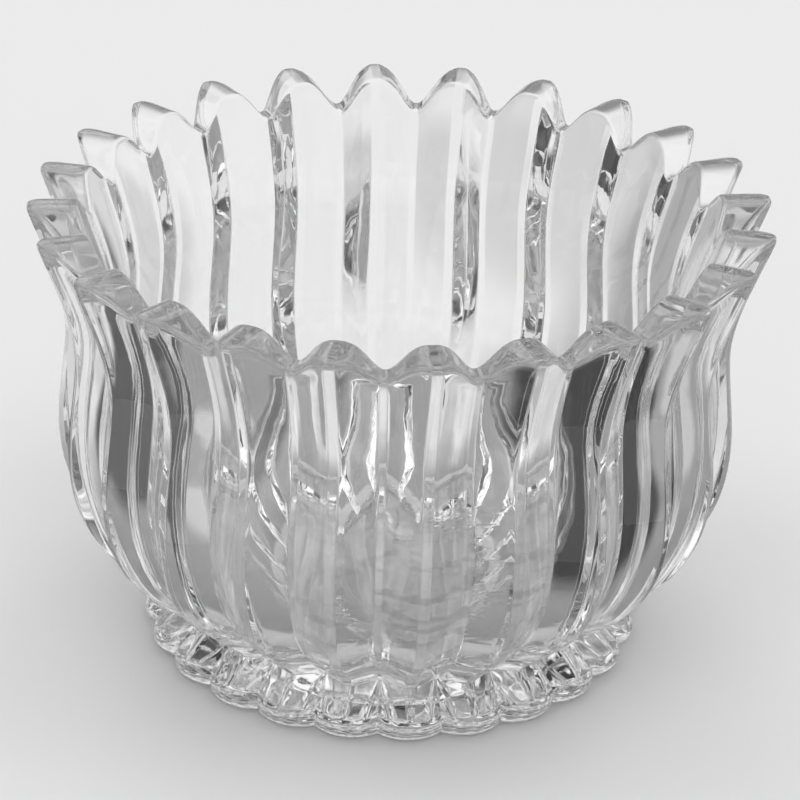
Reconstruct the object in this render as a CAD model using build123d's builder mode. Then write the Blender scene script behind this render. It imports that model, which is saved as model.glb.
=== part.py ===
from build123d import *

import math
import os

# Clear pressed glass bowl for floating candles: a deep bowl of pointed petals on a beaded foot.
# Millimetres, +Z up. The origin is on the table, at the middle of the foot, and a petal tip points along +X.
# The glass is two solids, the bowl and the foot, that meet face to face on a flat seam.

# Driving dimensions: the petals, round the bowl and round the foot
petals = 24
flute_angle = 120.0  # between the two faces of a groove, in degrees
land_width = 3.0  # the ridge left standing between two grooves
groove_round = 2.0  # radius at the bottom of a groove

# Driving dimensions: the line of a ridge, from the seam to a petal tip, each rise measured from the point below
seam_radius = 62.0
flank_radius = 83.5
flank_rise = 21.0
belly_radius = 92.2
belly_rise = 26.0
waist_radius = 90.0
waist_rise = 29.0
tip_radius = 100.0
tip_rise = 38.0
seam_slope = 45.0  # rise of the line where it leaves the seam, in degrees
rim_flare = 17.5  # lean of the line at the tips, in degrees from upright

# Driving dimensions: the inside and the rim
wall = 7.0  # glass behind a groove
floor = 7.0  # glass of the bowl under its inside floor
floor_round = 14.0  # where the floor turns into the wall
dip_depth = 8.2  # from a tip down to the dip between two petals
dip_slope = 17.0  # of the dip where it leaves the tip, in degrees
crest_width = 3.0  # flat left along the top of a tip
tip_chamfer = 1.4  # taken off the outer corner of a tip

# Driving dimensions: the foot
foot_height = 13.0
bead_radius = 69.2  # the beads at their widest
bead_height = 6.0  # table to the shoulder above the beads
bead_swell = 1.3  # how far a bead stands out beyond its bottom and its shoulder
bead_depth = 3.2  # notches between the beads
ring_width = 12.7  # glass that stands on the table, from the hollow under the foot to a notch
recess_depth = 3.5  # the hollow under the foot

# How many steps the fluted outside is drawn in, how far cutters run past the glass,
# and how near to a cut, in radians, the middle of a face counts as on it
steps = 12
overrun = 6.0
cut_tolerance = 1e-5

flank_height = foot_height + flank_rise
belly_height = flank_height + belly_rise
waist_height = belly_height + waist_rise
tip_height = waist_height + tip_rise
recess_radius = bead_radius - bead_swell - bead_depth - ring_width
pitch = 2 * math.pi / petals
half_flute = math.radians(flute_angle / 2)


def turned(along, across, angle):
    """A point given along and across a line from the axis that is turned to this angle."""
    return (
        along * math.cos(angle) - across * math.sin(angle),
        along * math.sin(angle) + across * math.cos(angle),
    )


def slope(degrees):
    """Direction of a line that rises at this angle."""
    return (math.cos(math.radians(degrees)), math.sin(math.radians(degrees)))


def land_half_angle(ridge_radius):
    """Half of the angle that a ridge takes up round the axis."""
    return math.asin(land_width / 2 / ridge_radius)


def groove_corner(ridge_radius):
    """Radius at which the two faces of a groove would meet."""
    swing = pitch / 2 - land_half_angle(ridge_radius)
    return ridge_radius * (math.cos(swing) - math.sin(swing) / math.tan(half_flute))


def groove_radius(ridge_radius):
    """Radius of the rounded bottom of a groove."""
    return groove_corner(ridge_radius) + groove_round * (1 / math.sin(half_flute) - 1)


def petal_outline(ridge_radius):
    """One level of a petal: out from the axis along one groove, round the ridge and back along the next."""
    land = land_half_angle(ridge_radius)
    corner = groove_corner(ridge_radius)
    run = groove_round / math.tan(half_flute)
    arc_centre = corner + groove_round / math.sin(half_flute)
    arc_middle = (math.pi / 2 - half_flute) / 2
    ThreePointArc(turned(ridge_radius, 0, -land), (ridge_radius, 0), turned(ridge_radius, 0, land))
    for side in (-1, 1):
        groove = side * pitch / 2
        bottom = turned(groove_radius(ridge_radius), 0, groove)
        middle = turned(
            arc_centre - groove_round * math.cos(arc_middle),
            -side * groove_round * math.sin(arc_middle),
            groove,
        )
        bend = turned(corner + run * math.cos(half_flute), -side * run * math.sin(half_flute), groove)
        Line((0, 0), bottom)
        ThreePointArc(bottom, middle, bend)
        Line(bend, turned(ridge_radius, 0, side * land))


def beaded_outline(bead_tip, notch):
    """One level of the foot: round beads, with notches of this depth between them."""
    for petal in range(petals):
        bead = petal * pitch
        ThreePointArc(
            turned(bead_tip - notch, 0, bead - pitch / 2),
            turned(bead_tip, 0, bead),
            turned(bead_tip - notch, 0, bead + pitch / 2),
        )


# The line that every ridge follows up the outside, and the points on it where the outside is drawn
with BuildLine(Plane.XZ) as ridge_line:
    Spline(
        (seam_radius, foot_height),
        (flank_radius, flank_height),
        (belly_radius, belly_height),
        (waist_radius, waist_height),
        (tip_radius, tip_height),
        tangents=(slope(seam_slope), slope(90 - rim_flare)),
    )
stations = [ridge_line.line @ (step / steps) for step in range(steps + 1)]

# The hollow of the bowl, as a plug: its side keeps one thickness behind the grooves, down to a flat floor
inside_points = [(groove_radius(point.X) - wall, point.Z) for point in stations]
with BuildPart() as hollow:
    with BuildSketch(Plane.XZ):
        with BuildLine():
            side = Spline(*inside_points)
            lip = side @ 1 + (side % 1) * overrun
            Polyline(side @ 1, lip, (0, lip.Y), (0, foot_height), side @ 0)
        make_face()
    revolve(axis=Axis.Z)
    split(bisect_by=Plane.XY.offset(foot_height + floor), keep=Keep.TOP)
    fillet(hollow.faces().sort_by(Axis.Z)[0].edges(), radius=floor_round)

# The dip between two petal tips, as a wedge that widens outwards as the petals do
inside_tip_radius = inside_points[-1][0]
with BuildPart() as rim_dip:
    for radius in (inside_tip_radius - 2 * overrun, tip_radius + overrun):
        half_width = radius * math.tan(pitch / 2) - crest_width / 2 * radius / tip_radius
        with BuildSketch(Plane((radius, 0, tip_height), x_dir=(0, 1, 0), z_dir=(1, 0, 0))):
            with BuildLine():
                Spline(
                    (-half_width, 0),
                    (0, -dip_depth),
                    (half_width, 0),
                    tangents=(slope(-dip_slope), slope(dip_slope)),
                )
                Polyline((half_width, 0), (half_width, overrun), (-half_width, overrun), (-half_width, 0))
            make_face()
    loft()

# The ring that takes the corner off the outer end of each tip
with BuildPart() as tip_corner:
    with BuildSketch(Plane.XZ):
        with BuildLine():
            Polyline(
                (tip_radius - tip_chamfer - overrun, tip_height + overrun),
                (tip_radius + overrun, tip_height - tip_chamfer - overrun),
                (tip_radius + overrun, tip_height + overrun),
                close=True,
            )
        make_face()
    revolve(axis=Axis.Z)

# One petal of the bowl, cut out of the round along the middle of the grooves beside it
with BuildPart() as petal:
    for point in stations:
        with BuildSketch(Plane.XY.offset(point.Z)):
            with BuildLine():
                petal_outline(point.X)
            make_face()
    loft()
    add(hollow.part, mode=Mode.SUBTRACT)
    add(tip_corner.part, mode=Mode.SUBTRACT)
    with PolarLocations(0, 2, start_angle=-math.degrees(pitch / 2), angular_range=2 * math.degrees(pitch)):
        add(rim_dip.part, mode=Mode.SUBTRACT)


def on_cut(face):
    """Whether a face of the petal is one of the two flat cuts that the next petals close."""
    centre = face.center()
    return abs(abs(math.atan2(centre.Y, centre.X)) - pitch / 2) < cut_tolerance


# The bowl: the petal's skin, repeated round the axis and closed into one solid
petal_skin = [face for face in petal.faces() if not on_cut(face)]
turns = [math.degrees(pitch) * count for count in range(petals)]
bowl_skin = Shell([face.rotate(Axis.Z, turn) for turn in turns for face in petal_skin])
with BuildPart() as fluted_bowl:
    add(Solid(bowl_skin).clean())

# The foot: a bead under each petal, with the notches in line with the grooves of the bowl
with BuildPart() as scalloped_foot:
    for height, bead_tip, notch in (
        (0, bead_radius - bead_swell, bead_depth),
        (bead_height / 2, bead_radius, bead_depth),
        (bead_height, bead_radius - bead_swell, bead_depth),
        (foot_height, seam_radius, seam_radius - groove_radius(seam_radius)),
    ):
        with BuildSketch(Plane.XY.offset(height)):
            with BuildLine():
                beaded_outline(bead_tip, notch)
            make_face()
    loft()
    with BuildSketch(Plane.XZ):
        with BuildLine():
            dome = TangentArc((0, recess_depth), (recess_radius, 0), tangent=(1, 0))
            Polyline(dome @ 1, (0, 0), dome @ 0)
        make_face()
    revolve(axis=Axis.Z, mode=Mode.SUBTRACT)

os.makedirs("parts", exist_ok=True)
fluted_bowl.part.label = "fluted_bowl"
scalloped_foot.part.label = "scalloped_foot"
export_step(fluted_bowl.part, "parts/fluted_bowl.step")
export_step(scalloped_foot.part, "parts/scalloped_foot.step")
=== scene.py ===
import cmath
import math

import bpy
import numpy as np
from mathutils import Matrix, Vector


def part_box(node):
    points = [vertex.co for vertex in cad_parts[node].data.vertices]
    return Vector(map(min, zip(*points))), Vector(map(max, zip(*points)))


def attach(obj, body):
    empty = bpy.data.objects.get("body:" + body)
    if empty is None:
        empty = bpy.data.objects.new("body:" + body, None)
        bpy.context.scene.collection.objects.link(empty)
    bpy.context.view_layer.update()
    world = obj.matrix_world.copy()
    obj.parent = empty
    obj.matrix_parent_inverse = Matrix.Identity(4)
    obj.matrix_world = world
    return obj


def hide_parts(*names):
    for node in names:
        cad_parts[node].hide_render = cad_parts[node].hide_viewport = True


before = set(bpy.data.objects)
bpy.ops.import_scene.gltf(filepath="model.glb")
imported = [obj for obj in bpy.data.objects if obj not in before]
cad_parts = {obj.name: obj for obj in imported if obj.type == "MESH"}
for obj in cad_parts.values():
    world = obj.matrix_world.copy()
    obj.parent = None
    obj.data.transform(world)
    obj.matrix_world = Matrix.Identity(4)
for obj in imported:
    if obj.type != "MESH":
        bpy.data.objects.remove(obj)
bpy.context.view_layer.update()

# Pressed glass: the bowl and its foot are one thick pressing of clear, colourless glass, so they are one
# closed mesh. The mould gave the outside its 24 petals and the foot its beads, and a plunger pressed the
# inside smooth. Fire polishing then rounded the corners of the rim and left its top a little hazy.
mm = 0.001
petals = 24
pitch = 2 * math.pi / petals
bowl_reach, _, tip_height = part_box("fluted_bowl")[1]
bead_reach, _, foot_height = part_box("scalloped_foot")[1]

# Half a petal seen from above, from the middle of its ridge to the middle of the next groove: a narrow flat,
# a wide face and a narrow flat, with round corners. A place is a complex number: how far along the ridge's
# line from the axis, and how far across it.
half_flute = math.radians(60)
ridge_flat = 1.25 * mm
ridge_round = 0.9 * mm
groove_flat = 0.9 * mm
groove_round = 1.0 * mm
flat_column = 0.85
face_columns = (0.08, 0.22, 0.36, 0.5, 0.64, 0.78, 0.92)
corner_columns = (0, 1 / 3, 2 / 3, 1)


def rounded(corner, before, after, radius):
    """Places on the arc that rounds a corner between two directions."""
    turn = cmath.phase(after / before)
    start = corner - before * radius * math.tan(abs(turn) / 2)
    centre = start + before * 1j * math.copysign(radius, turn)
    return [centre + (start - centre) * cmath.exp(1j * turn * share) for share in corner_columns]


def half_petal(ridge):
    """Outline at each of these ridge radii, with one row of places for each column of the mesh."""
    groove_line = cmath.exp(1j * pitch / 2)
    across_ridge = 1j
    across_groove = 1j * groove_line
    down_face = across_groove * cmath.exp(1j * (math.pi / 2 - half_flute))
    ridge_corner = ridge + across_ridge * ridge_flat
    room = -(ridge_corner / groove_line).imag
    groove_corner = ridge_corner + down_face * (room - groove_flat) / math.sin(half_flute)
    groove = groove_corner + across_groove * groove_flat
    ridge_arc = rounded(ridge_corner, across_ridge, down_face, ridge_round)
    groove_arc = rounded(groove_corner, down_face, across_groove, groove_round)
    face = [ridge_arc[-1] + (groove_arc[0] - ridge_arc[-1]) * share for share in face_columns]
    ridge_side = ridge + (ridge_arc[0] - ridge) * flat_column
    groove_side = groove + (groove_arc[-1] - groove) * flat_column
    return np.array([ridge + 0j, ridge_side, *ridge_arc, *face, *groove_arc, groove_side, groove])


# Line of a ridge up the outside: heights, radii and outward leans of a few points, with a smooth curve
# between them. It ends where the corner of a tip would be if the rim weren't rounded.
tip_radius = bowl_reach + 0.48 * mm
ridge_heights = np.array([foot_height, 34 * mm, 60 * mm, 89 * mm, tip_height])
ridge_radii = np.array([62 * mm, 83.5 * mm, 92.2 * mm, 90 * mm, tip_radius])
ridge_leans = np.array([1.0, 0.72, 0.05, -0.06, 0.315])
wall = 7 * mm


def ridge_radius(height):
    """Radius of the ridges at these heights."""
    span = np.clip(np.searchsorted(ridge_heights, height) - 1, 0, len(ridge_heights) - 2)
    rise = ridge_heights[span + 1] - ridge_heights[span]
    part = (height - ridge_heights[span]) / rise
    rest = 1 - part
    return (
        ridge_radii[span] * rest**2 * (1 + 2 * part)
        + ridge_radii[span + 1] * part**2 * (1 + 2 * rest)
        + rise * rest * part * (ridge_leans[span] * rest - ridge_leans[span + 1] * part)
    )


def inside_radius(height):
    """Radius of the smooth inside at these heights, one wall behind the grooves."""
    return np.abs(half_petal(ridge_radius(height))[-1]) - wall


# Each column of the mesh keeps its own place on the outline, from under the foot to the middle of the inside
columns = np.arange(len(half_petal(np.array(tip_radius))))


def at_columns(ridge):
    """One place of the outline for each column, each at its own ridge radius."""
    return half_petal(ridge)[columns, columns]


def bent(share, start, corner, end):
    """Point on a curve that rounds a corner."""
    return (1 - share) ** 2 * start + 2 * share * (1 - share) * corner + share**2 * end


places = []
heights = []
bend_shares = (0.2, 0.4, 0.6, 0.8, 1.0)


def add_row(place, height):
    """One more row of the half petal. Rows run from under the foot up the outside and down the inside."""
    places.append(np.broadcast_to(place, columns.shape))
    heights.append(np.broadcast_to(height, columns.shape))


# Foot: a shallow hollow underneath, a standing ring, a round bead for each petal, and over the beads a fan of
# flat facets that spreads from each notch
bead_height = 6 * mm
bead_swell = 1.3 * mm
bead_depth = 3.2 * mm
recess_radius = 52 * mm
recess_depth = 3.5 * mm
table_round = 1.2 * mm
shoulder_round = 0.25 * mm
recess_shares = (0.08, 0.3, 0.55, 0.78, 0.93, 1.0)
standing_shares = (0.04, 0.5, 1.0)
bead_rows = 6
fan_shares = (0.0, 0.5, 1.0)
fan_top = 12.2 * mm
fan_step = 0.3 * mm

# Creases of the fan from the middle of a bead to the notch: their columns, their places at the bottom and at
# the top as shares of half a petal, and how far out they stand at the bottom
fan_columns = (0, 6, 11, 16, 18)
fan_creases = (0.0, 0.38, 0.663, 0.927, 1.0)
fan_ends = (0.0, 0.9, 0.94, 0.98, 1.0)
fan_relief = (0.0, -1.3 * mm, 0.2 * mm, -1.0 * mm, -0.2 * mm)
foot_angle = np.interp(columns, fan_columns, fan_creases) * pitch / 2
foot_ray = np.exp(1j * foot_angle)


def beads(height):
    """Radius of the beads at this height, for each column."""
    tip = bead_reach - bead_swell * (2 * height / bead_height - 1) ** 2
    notch = tip - bead_depth
    half_width = notch * math.sin(pitch / 2)
    swell = tip - notch * math.cos(pitch / 2)
    arc = (half_width**2 + swell**2) / (2 * swell)
    centre = tip - arc
    return centre * np.cos(foot_angle) + np.sqrt(arc**2 - (centre * np.sin(foot_angle)) ** 2)


for share in recess_shares:
    add_row(recess_radius * share * foot_ray, recess_depth * (1 - share**2))
table_edge = beads(0) - table_round
for share in standing_shares:
    add_row((recess_radius + (table_edge - recess_radius) * share) * foot_ray, 0)
for share in bend_shares:
    add_row(bent(share, table_edge, beads(0), beads(table_round)) * foot_ray, table_round * share**2)
for height in np.linspace(table_round, bead_height - shoulder_round, bead_rows + 1)[1:]:
    add_row(beads(height) * foot_ray, height)
shoulder = beads(bead_height) - shoulder_round
add_row(shoulder * foot_ray, bead_height)
fan_foot = bead_height + shoulder_round
fan_start = (shoulder - shoulder_round + np.interp(columns, fan_columns, fan_relief)) * foot_ray
fan_angle = np.interp(columns, fan_columns, fan_ends) * pitch / 2
bowl_outline = half_petal(ridge_radius(np.array(fan_top)))
fan_radius = np.interp(fan_angle, np.angle(bowl_outline), np.abs(bowl_outline)) - fan_step
fan_end = fan_radius * np.exp(1j * fan_angle)
for share in fan_shares:
    add_row(fan_start + (fan_end - fan_start) * share, fan_foot + (fan_top - fan_foot) * share)

# Outside of the bowl, up to the wave of the rim: a broad crest over each ridge, a narrow dip over each groove
dip_depth = 8.2 * mm
dip_sharpness = 1.4
outer_round = 2.2 * mm
outside_shares = (0, 0.006, 0.015, *np.linspace(0.03, 1, 38))
crest_angle = np.angle(at_columns(np.full(len(columns), tip_radius)))
wave = np.sin(math.pi / 2 * (crest_angle / (pitch / 2)) ** dip_sharpness) ** 2
rim_height = tip_height - dip_depth * wave
edge_height = rim_height - outer_round
for share in outside_shares:
    height = foot_height + (edge_height - foot_height) * share
    add_row(at_columns(ridge_radius(height)), height)

# Rim: a rounded outer corner, a flat top and a rounded inner corner
inner_round = 1.3 * mm
top_shares = (0.25, 0.5, 0.75, 1.0)
outer_edge = places[-1]
outer_corner = at_columns(ridge_radius(rim_height))
ray = outer_corner / np.abs(outer_corner)
inner_corner = inside_radius(rim_height) * ray
outer_top = outer_corner - outer_round * ray
inner_top = inner_corner + inner_round * ray
inner_edge = inside_radius(rim_height - inner_round) * ray
for share in bend_shares:
    place = bent(share, outer_edge, outer_corner, outer_top)
    add_row(place, bent(share, edge_height, rim_height, rim_height))
for share in top_shares:
    add_row(outer_top + (inner_top - outer_top) * share, rim_height)
first_inside_row = len(places)
for share in bend_shares:
    add_row(bent(share, inner_top, inner_corner, inner_edge), rim_height - inner_round * share**2)

# Inside: a smooth wall, a round turn and a flat floor
inside_floor = 20 * mm
turn_height = 30 * mm
turn_width = 9 * mm
wall_rows = 20
turn_rows = 9
floor_shares = (0.75, 0.5, 0.28, 0.1)
turn_radius = inside_radius(np.array(turn_height))
floor_corner = inside_radius(np.array(inside_floor))
floor_radius = floor_corner - turn_width
for share in np.linspace(0, 1, wall_rows + 1)[1:]:
    height = (rim_height - inner_round) * (1 - share) + turn_height * share
    add_row(inside_radius(height) * ray, height)
for share in np.linspace(0, 1, turn_rows + 1)[1:]:
    radius = bent(share, turn_radius, floor_corner, floor_radius)
    add_row(radius * ray, bent(share, turn_height, inside_floor, inside_floor))
for share in floor_shares:
    add_row(floor_radius * share * ray, inside_floor)

# The half petal is mirrored and repeated round the axis, and one point under the foot and one inside close it
half_place = np.array(places)
half_height = np.array(heights)
petal_place = np.concatenate([half_place[:, :0:-1].conj(), half_place[:, :-1]], axis=1)
petal_height = np.concatenate([half_height[:, :0:-1], half_height[:, :-1]], axis=1)
turned_petals = [petal_place * cmath.exp(1j * pitch * petal) for petal in range(petals)]
whole_place = np.concatenate(turned_petals, axis=1)
whole_height = np.tile(petal_height, petals)
row_count, around = whole_place.shape
vertices = [(0, 0, recess_depth)]
vertices += zip(whole_place.real.ravel(), whole_place.imag.ravel(), whole_height.ravel())
vertices.append((0, 0, inside_floor))
last_row = 1 + (row_count - 1) * around
faces = []
for column in range(around):
    after = (column + 1) % around
    faces.append((0, 1 + after, 1 + column))
    for row in range(1, last_row, around):
        faces.append((row + column, row + after, row + around + after, row + around + column))
    faces.append((last_row + column, last_row + after, len(vertices) - 1))
crease_angle = math.radians(24)
mesh = bpy.data.meshes.new("pressed_glass")
mesh.from_pydata(vertices, [], faces)
mesh.polygons.foreach_set("use_smooth", [True] * len(faces))
mesh.set_sharp_from_angle(angle=crease_angle)
plunger_side = mesh.attributes.new("plunger_side", "FLOAT", "POINT")
first_inside = 1 + first_inside_row * around
plunger_side.data.foreach_set("value", [float(index >= first_inside) for index in range(len(vertices))])
glass = bpy.data.objects.new("pressed_glass", mesh)
bpy.context.scene.collection.objects.link(glass)

material = bpy.data.materials.new("clear_pressed_glass")
material.use_nodes = True
mesh.materials.append(material)
finish = material.node_tree
shader = finish.nodes["Principled BSDF"]
shader.inputs["Transmission Weight"].default_value = 1.0
shader.inputs["IOR"].default_value = 1.51


def add_node(tree, kind, output, sockets, **settings):
    """Output of a new shader node. A socket takes a plain value, or a link from another node's output."""
    node = tree.nodes.new("ShaderNode" + kind)
    for name, value in settings.items():
        setattr(node, name, value)
    for name, value in sockets.items():
        if isinstance(value, bpy.types.NodeSocket):
            tree.links.new(value, node.inputs[name])
        else:
            node.inputs[name].default_value = value
    return node.outputs[output]


def ramp(tree, value, start, end, low=0.0, high=1.0, kind="LINEAR"):
    """Value taken from one range to another, and held at the ends."""
    sockets = {"Value": value, "From Min": start, "From Max": end, "To Min": low, "To Max": high}
    return add_node(tree, "MapRange", "Result", sockets, interpolation_type=kind)


def math_node(tree, operation, *values):
    """Sum, product or the like of some values."""
    return add_node(tree, "Math", "Value", dict(enumerate(values)), operation=operation)


def mixed(tree, share, first, second):
    """Colour between two colours."""
    return add_node(tree, "Mix", "Result", {"Factor": share, "A": first, "B": second}, data_type="RGBA")


def grey(level):
    """A grey, as a colour socket holds it."""
    return (level, level, level, 1)


# Tint: colourless, a touch greyer in some places than in others, and greyer where the glass is thick
greyest_tint = 0.982
clearest_tint = 0.998
cloud_scale = 18
loss_grey = 0.5
loss_density = 2.8
spot = add_node(finish, "TexCoord", "Object", {})
spot_height = add_node(finish, "SeparateXYZ", "Z", {"Vector": spot})
cloud = add_node(finish, "TexNoise", "Fac", {"Vector": spot, "Scale": cloud_scale})
tint = mixed(finish, cloud, grey(greyest_tint), grey(clearest_tint))
loss_settings = {"Color": grey(loss_grey), "Density": loss_density}
loss = add_node(finish, "VolumeAbsorption", "Volume", loss_settings)
finish.links.new(loss, finish.nodes["Material Output"].inputs["Volume"])

# Chill marks: the glass set while it still moved, so its faces are uneven, in broad waves and in small ones,
# though less so on the small foot
uneven_depth = 0.1 * mm
broad_share = 6
broad_scale = 32
small_scale = 75
foot_share = 0.6
foot_fade = 3 * mm
broad_noise = add_node(finish, "TexNoise", "Fac", {"Vector": spot, "Scale": broad_scale, "Detail": 0})
small_noise = add_node(finish, "TexNoise", "Fac", {"Vector": spot, "Scale": small_scale, "Detail": 1.5})
broad_waves = math_node(finish, "SUBTRACT", broad_noise, 0.5)
small_waves = math_node(finish, "SUBTRACT", small_noise, 0.5)
uneven = math_node(finish, "MULTIPLY_ADD", broad_waves, broad_share, small_waves)
above_foot = ramp(finish, spot_height, foot_height, foot_height + foot_fade, foot_share, 1.0)
chill_marks = math_node(finish, "MULTIPLY", uneven, above_foot)

# Wrinkles: low on the inside, on the side of the bowl that faces the camera, fine level streaks in relief,
# with
# # painted shade: the glass is painted a darker grey in the streaks, standing in for the shade their waves
# throw
streak_centre = (5 * mm, -70 * mm, 45 * mm)
wrinkle_core = 22 * mm
wrinkle_reach = 42 * mm
wrinkle_share = 0.4
# painted shade: grey of the glass in the streaks
wrinkle_painted_shade = 0.6
streak_scale = 100
streak_flatness = 3.5
streak_start = 0.48
streak_full = 0.68
flattened = add_node(finish, "Mapping", "Vector", {"Vector": spot, "Scale": (1, 1, streak_flatness)})
streak_settings = {"Vector": flattened, "Scale": streak_scale, "Detail": 1}
streak_noise = add_node(finish, "TexNoise", "Fac", streak_settings)
streaks = ramp(finish, streak_noise, streak_start, streak_full, kind="SMOOTHSTEP")
from_streak_centre = add_node(finish, "VectorMath", "Value", {0: spot, 1: streak_centre}, operation="DISTANCE")
near_streak_centre = ramp(finish, from_streak_centre, wrinkle_reach, wrinkle_core)
inside = add_node(finish, "Attribute", "Fac", {}, attribute_name="plunger_side")
wrinkled = math_node(finish, "MULTIPLY", near_streak_centre, inside)
wrinkles_and_painted_shade = math_node(finish, "MULTIPLY", streaks, wrinkled)
# the streaks' painted shade goes into the glass's colour, and their relief into the bump
finish.links.new(mixed(finish, wrinkles_and_painted_shade, tint, grey(wrinkle_painted_shade)), shader.inputs["Base Color"])
relief = math_node(finish, "MULTIPLY_ADD", wrinkles_and_painted_shade, wrinkle_share, chill_marks)
bump = add_node(finish, "Bump", "Normal", {"Height": relief, "Distance": uneven_depth, "Strength": 1.0})
finish.links.new(bump, shader.inputs["Normal"])

# Haze: on the top of the rim, where the surface faces up, high on the bowl, and a trace of it on the foot
rim_start = 110 * mm
rim_slope = 0.3
rim_level = 0.7
rim_roughness = 0.05
foot_roughness = 0.035
foot_blend = 1 * mm
surface = add_node(finish, "NewGeometry", "Normal", {})
facing = add_node(finish, "SeparateXYZ", "Z", {"Vector": surface})
upward = ramp(finish, facing, rim_slope, rim_level)
high_up = math_node(finish, "GREATER_THAN", spot_height, rim_start)
on_rim = math_node(finish, "MULTIPLY", upward, high_up)
rim_haze = math_node(finish, "MULTIPLY", on_rim, rim_roughness)
on_foot = ramp(finish, spot_height, foot_height, foot_height - foot_blend)
haze = math_node(finish, "MULTIPLY_ADD", on_foot, foot_roughness, rim_haze)
finish.links.new(haze, shader.inputs["Roughness"])

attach(glass, "root")
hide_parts("fluted_bowl", "scalloped_foot")

# Stage: a plain pale floor, and on it round the bowl a mat that only the glass sees. The clear petals have no
# # colour of their own but show what lies round them, so the mat holds painted light and shade: its grey
# round
# # the bowl is a painted shadow of the bowl, its dark patches at the sides are painted shade, it is pale
# behind
# # the bowl, and it is paler still under the foot, as painted light.
azimuth = math.radians(-95.504)
matt_roughness = 0.9
floor_grey = 0.86
floor_level = -0.3 * mm
floor_reach = 6
# painted shadow: grey of the mat round the bowl, standing in for the bowl's shadow on the table
painted_shadow_grey = 0.40
mat_level = -0.2 * mm
mat_left, mat_right = -0.45, 0.35
mat_near, mat_far = -0.17, 0.45

# Patches of painted light and shade on the mat, each over those before it: middle, reach of the even part,
# # whole reach and grey
painted_light_patches = (
    ((-0.12, 0.45, 0), 0.32, 0.39, 0.92),  # behind the bowl
    ((0.12, 0.29, 0), 0.04, 0.10, 0.70),  # behind it to the right
    ((-0.185, 0.175, 0), 0.03, 0.06, 0.70),  # behind it to the left
    # painted shade
    ((-0.235, 0.05, 0), 0.08, 0.11, 0.11),  # to its left
    ((-0.2, -0.1, 0), 0.04, 0.07, 0.64),  # in front of that
    # painted shade
    ((0.21, -0.075, 0), 0.10, 0.13, 0.045),  # to its right
    ((0.185, 0.1, 0), 0.02, 0.05, 0.66),  # behind that
    # painted light, as if gathered by the glass under the foot, brighter under its middle
    ((0, 0, 0), 0.08, 0.085, 0.82),  # under the foot
    ((0, 0.008, 0), 0.014, 0.03, 0.98),  # under the middle of the foot
)


def sheet(name, level, left, right, near, far):
    """A flat matt sheet, measured to the right of the camera's view and away from it."""
    corners = [(left, near, level), (right, near, level), (right, far, level), (left, far, level)]
    sheet_mesh = bpy.data.meshes.new(name)
    sheet_mesh.from_pydata(corners, [], [(0, 1, 2, 3)])
    sheet_material = bpy.data.materials.new(name)
    sheet_material.use_nodes = True
    sheet_mesh.materials.append(sheet_material)
    matt = sheet_material.node_tree.nodes["Principled BSDF"]
    matt.inputs["Roughness"].default_value = matt_roughness
    matt.inputs["Specular IOR Level"].default_value = 0.0
    sheet_object = bpy.data.objects.new(name, sheet_mesh)
    sheet_object.rotation_euler.z = azimuth + math.pi / 2
    bpy.context.scene.collection.objects.link(sheet_object)
    return sheet_object, sheet_material.node_tree, matt.inputs["Base Color"]


floor_sides = (-floor_reach, floor_reach, -floor_reach, floor_reach)
_, _, floor_colour = sheet("studio_floor", floor_level, *floor_sides)
floor_colour.default_value = grey(floor_grey)

mat, mat_tree, painted_mat_colour = sheet("painted_light_mat", mat_level, mat_left, mat_right, mat_near, mat_far)
mat.visible_camera = False
mat.visible_diffuse = False
mat.visible_shadow = False
mat_spot = add_node(mat_tree, "TexCoord", "Object", {})
# the mat's colour: painted shadow, with the patches of painted light and shade over it
shade = grey(painted_shadow_grey)
for middle, even_reach, whole_reach, level in painted_light_patches:
    reach = add_node(mat_tree, "VectorMath", "Value", {0: mat_spot, 1: middle}, operation="DISTANCE")
    cover = ramp(mat_tree, reach, whole_reach, even_reach, kind="SMOOTHSTEP")
    shade = mixed(mat_tree, cover, shade, grey(level))
mat_tree.links.new(shade, painted_mat_colour)

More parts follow.
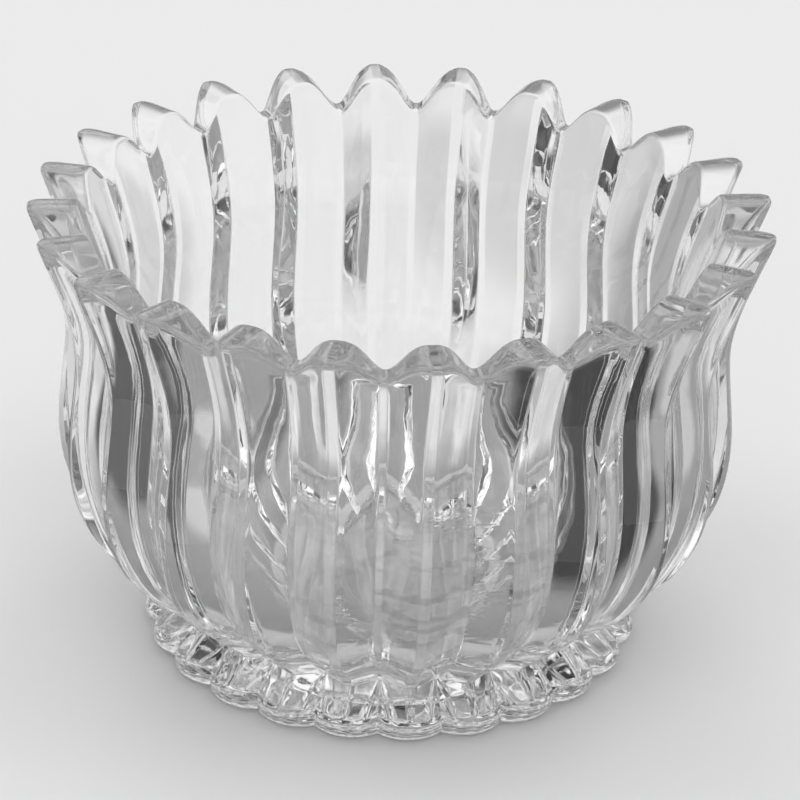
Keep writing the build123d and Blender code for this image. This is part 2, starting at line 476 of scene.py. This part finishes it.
# Light: soft windows round the room, with dark wall between them and a grey low wall under them, and a large
# soft light overhead
window_count = 6
window_light = 1.25
wall_light = 0.03
window_blur = 0.2
low_wall_left = 0.08
low_wall_right = 0.34
low_wall_side = 0.9
sill_bottom = 0.25
sill_top = 0.4
overhead_light = 1.50
overhead_edge = 0.68
overhead_full = 0.82
world = bpy.data.worlds.new("studio")
bpy.context.scene.world = world
world.use_nodes = True
room = world.node_tree
direction = add_node(room, "TexCoord", "Generated", {})
east, north, up = [add_node(room, "SeparateXYZ", axis, {"Vector": direction}) for axis in "XYZ"]
bearing = math_node(room, "ARCTAN2", north, east)
beat = math_node(room, "SINE", math_node(room, "MULTIPLY", bearing, window_count))
windows = ramp(room, beat, -window_blur, window_blur, window_light, wall_light, kind="SMOOTHSTEP")
low_wall = ramp(room, east, -low_wall_side, low_wall_side, low_wall_left, low_wall_right)
walls = ramp(room, up, sill_bottom, sill_top, low_wall, windows, kind="SMOOTHSTEP")
light = ramp(room, up, overhead_edge, overhead_full, walls, overhead_light, kind="SMOOTHSTEP")
room.links.new(light, room.nodes["Background"].inputs["Color"])

# Camera: a long lens, well above the rim, with the bowl's middle petals just off the line of sight
elevation = math.radians(31.306)
distance = 0.8841
heading = azimuth + math.pi / 2 - math.radians(0.077)
tilt = math.radians(27.458)
roll = math.radians(1.84)
camera_data = bpy.data.cameras.new("camera")
camera_data.sensor_width = 36
camera_data.lens = 139.43
camera = bpy.data.objects.new("camera", camera_data)
bpy.context.scene.collection.objects.link(camera)
bpy.context.scene.camera = camera
ground_distance = distance * math.cos(elevation)
camera_x = ground_distance * math.cos(azimuth)
camera_y = ground_distance * math.sin(azimuth)
camera_z = distance * math.sin(elevation)
stand = Matrix.Translation((camera_x, camera_y, camera_z))
turned = Matrix.Rotation(heading, 4, "Z")
tilted = Matrix.Rotation(math.pi / 2 - tilt, 4, "X")
rolled = Matrix.Rotation(roll, 4, "Z")
camera.matrix_world = stand @ turned @ tilted @ rolled

# Light needs many steps to find its way through the petals and the beads
glass_bounces = 32
bpy.context.scene.cycles.max_bounces = glass_bounces
bpy.context.scene.cycles.transmission_bounces = glass_bounces
bpy.context.scene.cycles.glossy_bounces = glass_bounces
bpy.context.scene.view_settings.view_transform = "Standard"
